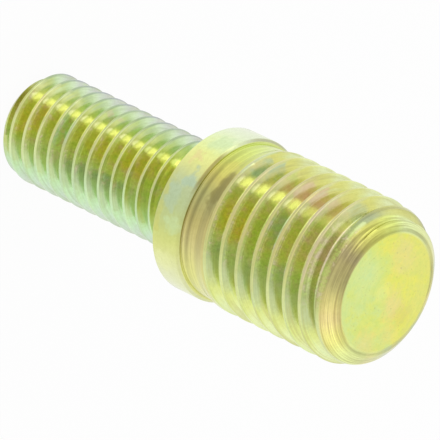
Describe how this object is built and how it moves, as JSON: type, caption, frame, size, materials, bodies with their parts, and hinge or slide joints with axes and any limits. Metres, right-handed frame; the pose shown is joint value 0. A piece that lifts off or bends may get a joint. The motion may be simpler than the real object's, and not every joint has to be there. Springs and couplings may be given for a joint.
{
  "type": "stud bolt",
  "caption": "Stepped stud bolt: a small and a large screw thread on either side of a plain collar, turned in one piece, to join parts with different thread sizes.",
  "frame": {"origin": "centre of the small end's flat face, on which the stud stands", "axes": "+Z runs along the stud's axis from the small end to the large end; +X points to the side that the picture shows"},
  "size_m": [0.012, 0.012, 0.034],
  "materials": {
    "yellow_chromate": "zinc plated with a yellow iridescent chromate, satin"
  },
  "bodies": {
    "root": {"stud": "yellow_chromate"}
  },
  "joints": []
}
